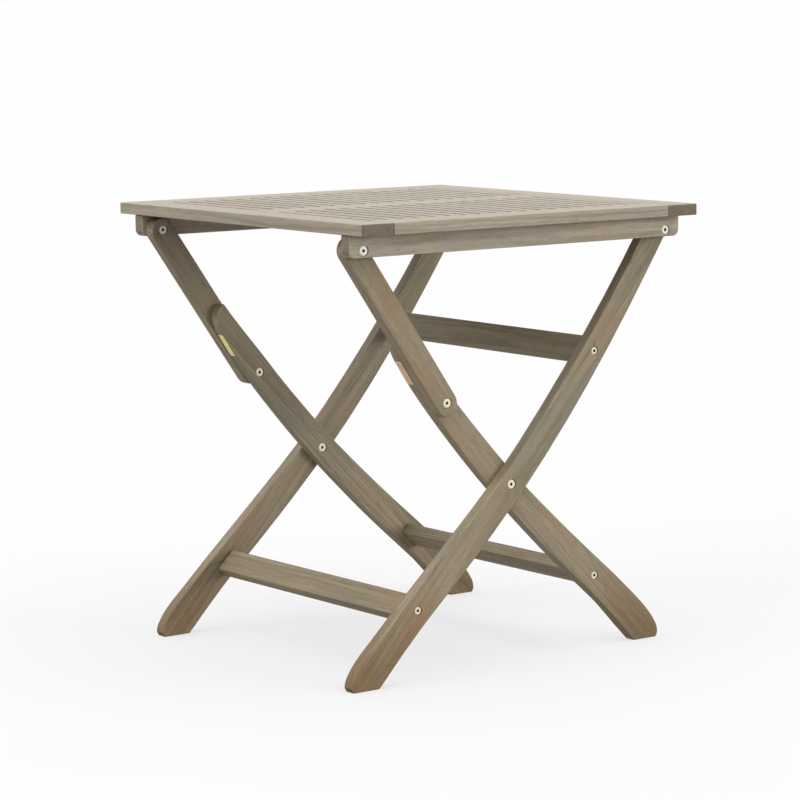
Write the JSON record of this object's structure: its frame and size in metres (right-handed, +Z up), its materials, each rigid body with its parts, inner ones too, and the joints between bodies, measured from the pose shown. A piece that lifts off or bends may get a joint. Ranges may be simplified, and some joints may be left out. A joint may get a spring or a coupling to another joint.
{
  "type": "folding picnic table",
  "caption": "Low square slatted wooden table on crossing curved legs that fold up under the top.",
  "frame": {"origin": "on the floor, under the centre of the top", "axes": "+Z up; X along the aprons, from the feet of the long legs towards the feet of the lower legs; Y from side to side"},
  "size_m": [0.66, 0.66, 0.71],
  "materials": {
    "top_wood": "weathered, planed smooth, pale grey-brown",
    "frame_wood": "weathered, grey-olive brown, satin",
    "label": "blank sticker, satin, slightly faded",
    "brass": "satin, slightly tarnished"
  },
  "bodies": {
    "tabletop": {"apron_far": "frame_wood", "apron_near": "frame_wood", "end_rail_left": "top_wood", "end_rail_right": "top_wood", "leg_pivot_bolt_far": "brass", "leg_pivot_bolt_near": "brass", "link_pivot_bolt_far": "brass", "link_pivot_bolt_near": "brass", "middle_rail": "top_wood", "side_rail_far": "top_wood", "side_rail_near": "top_wood", "slat_far_01": "top_wood", "slat_far_02": "top_wood", "slat_far_03": "top_wood", "slat_far_04": "top_wood", "slat_far_05": "top_wood", "slat_far_06": "top_wood", "slat_far_07": "top_wood", "slat_far_08": "top_wood", "slat_far_09": "top_wood", "slat_far_10": "top_wood", "slat_far_11": "top_wood", "slat_far_12": "top_wood", "slat_far_13": "top_wood", "slat_far_14": "top_wood", "slat_far_15": "top_wood", "slat_far_16": "top_wood", "slat_far_17": "top_wood", "slat_far_18": "top_wood", "slat_near_01": "top_wood", "slat_near_02": "top_wood", "slat_near_03": "top_wood", "slat_near_04": "top_wood", "slat_near_05": "top_wood", "slat_near_06": "top_wood", "slat_near_07": "top_wood", "slat_near_08": "top_wood", "slat_near_09": "top_wood", "slat_near_10": "top_wood", "slat_near_11": "top_wood", "slat_near_12": "top_wood", "slat_near_13": "top_wood", "slat_near_14": "top_wood", "slat_near_15": "top_wood", "slat_near_16": "top_wood", "slat_near_17": "top_wood", "slat_near_18": "top_wood"},
    "long_legs": {"crossing_bolt_far": "brass", "crossing_bolt_near": "brass", "long_leg_far": "frame_wood", "long_leg_near": "frame_wood", "rear_stretcher": "frame_wood", "upper_stretcher": "frame_wood"},
    "upper_links": {"knee_bolt_far": "brass", "knee_bolt_near": "brass", "upper_link_far": "frame_wood", "upper_link_near": "frame_wood"},
    "lower_legs": {"front_stretcher": "frame_wood", "lower_leg_far": "frame_wood", "lower_leg_near": "frame_wood"}
  },
  "joints": [
    {"name": "long_leg_fold", "type": "hinge", "parent": "tabletop", "child": "long_legs", "pos_m": [0.2977, 0, 0.6677], "axis": [0, 1, 0], "range_deg": [0, 37.5]},
    {"name": "link_fold", "type": "hinge", "parent": "tabletop", "child": "upper_links", "pos_m": [-0.2977, 0, 0.6677], "axis": [0, -1, 0], "range_deg": [0, 47.31]},
    {"name": "knee_fold", "type": "hinge", "parent": "upper_links", "child": "lower_legs", "pos_m": [-0.1271, 0, 0.4247], "axis": [0, 1, 0], "range_deg": [0, 154.1]}
  ],
  "couplings": [
    {"joint": "link_fold", "follows": "long_leg_fold", "ratio": 1.2612},
    {"joint": "knee_fold", "follows": "long_leg_fold", "ratio": 4.1089}
  ]
}
